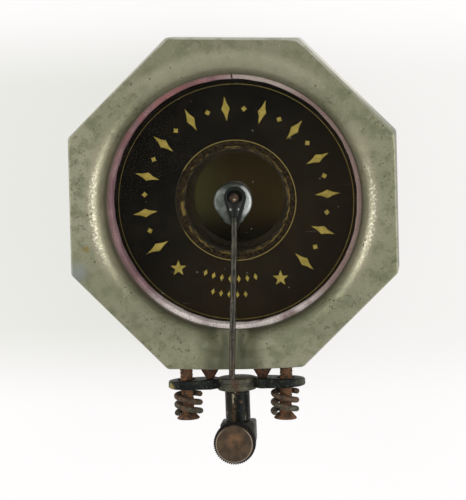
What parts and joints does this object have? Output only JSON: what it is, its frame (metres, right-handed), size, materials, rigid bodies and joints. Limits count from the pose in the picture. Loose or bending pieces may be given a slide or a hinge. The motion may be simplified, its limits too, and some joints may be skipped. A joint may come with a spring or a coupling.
{
  "type": "gramophone soundbox",
  "caption": "Octagonal gramophone soundbox with a clear diaphragm over a ringed disc, a stylus arm on a sprung rocker bar, a needle chuck with thumbscrew and a tonearm socket.",
  "frame": {"origin": "centre of the tonearm socket's rear face, on the axis of the window and the throat", "axes": "+Z out of the front face, +Y to the top of the face, away from the needle, +X to its right; the part lies on its back on the socket's rear ring"},
  "size_m": [0.0658, 0.0847, 0.0307],
  "materials": {
    "aged_nickel": "thin aged nickel plating over pale cast metal, satin, darkened and pitted",
    "plate_metal": "aged nickel plating, satin",
    "printed_black": "black japanned disc with gold printed rings",
    "red_rubber": "faded pinkish brown rubber",
    "mica": "clear mica sheet",
    "grey_steel": "worn plated steel",
    "dark_steel": "blackened steel, worn",
    "rusty_steel": "rusted steel, rough",
    "spring_steel": "tarnished spring wire",
    "black_lacquer": "chipped black lacquer",
    "copper_brown": "dark tarnished brass, knurled",
    "black_rubber": "aged black rubber",
    "brass": "tarnished brass tube"
  },
  "bodies": {
    "case": {"front_bezel": "aged_nickel", "back_plate": "plate_metal", "printed_disc": "printed_black", "rear_gasket": "red_rubber", "diaphragm": "mica", "front_gasket": "red_rubber", "back_screw_1": "grey_steel", "back_screw_2": "grey_steel", "back_screw_3": "grey_steel", "back_screw_4": "grey_steel", "rubber_insulator": "black_rubber", "tonearm_socket": "brass", "clamp_ring": "plate_metal", "clamp_screw_1": "grey_steel", "clamp_screw_2": "grey_steel", "clamp_screw_3": "grey_steel", "pivot_cone_left": "rusty_steel", "pivot_cone_right": "rusty_steel", "tension_screw_left": "rusty_steel", "tension_screw_right": "rusty_steel", "tension_spring_left": "spring_steel", "tension_spring_right": "spring_steel"},
    "rocker": {"rocker_bar": "black_lacquer", "needle_stem": "black_lacquer", "needle_chuck": "dark_steel", "stylus_arm": "dark_steel", "front_washer": "grey_steel", "rear_washer": "grey_steel", "hub_nut": "dark_steel", "hub_screw": "rusty_steel"},
    "needle_screw_shank": {"thumbscrew_shank": "dark_steel"},
    "needle_screw_head": {"thumbscrew_head": "copper_brown"}
  },
  "joints": [
    {"name": "rocker_tilt", "type": "hinge", "parent": "case", "child": "rocker", "pos_m": [0, -0.0352, 0.02311], "axis": [1, 0, 0], "range_deg": [-0.5, 0.5], "stiffness_Nm_per_rad": 0.4, "deforming": ["diaphragm"]},
    {"name": "needle_screw_advance", "type": "slide", "parent": "rocker", "child": "needle_screw_shank", "axis": [0, 0, 1], "range_m": [-0.0006, 0.0012]},
    {"name": "needle_screw_turn", "type": "hinge", "parent": "needle_screw_shank", "child": "needle_screw_head", "pos_m": [0, -0.04755, 0.02711], "axis": [0, 0, 1], "range_deg": [-361, 721]}
  ],
  "couplings": [
    {"joint": "needle_screw_turn", "follows": "needle_screw_advance", "rad_per_m": 10472}
  ]
}
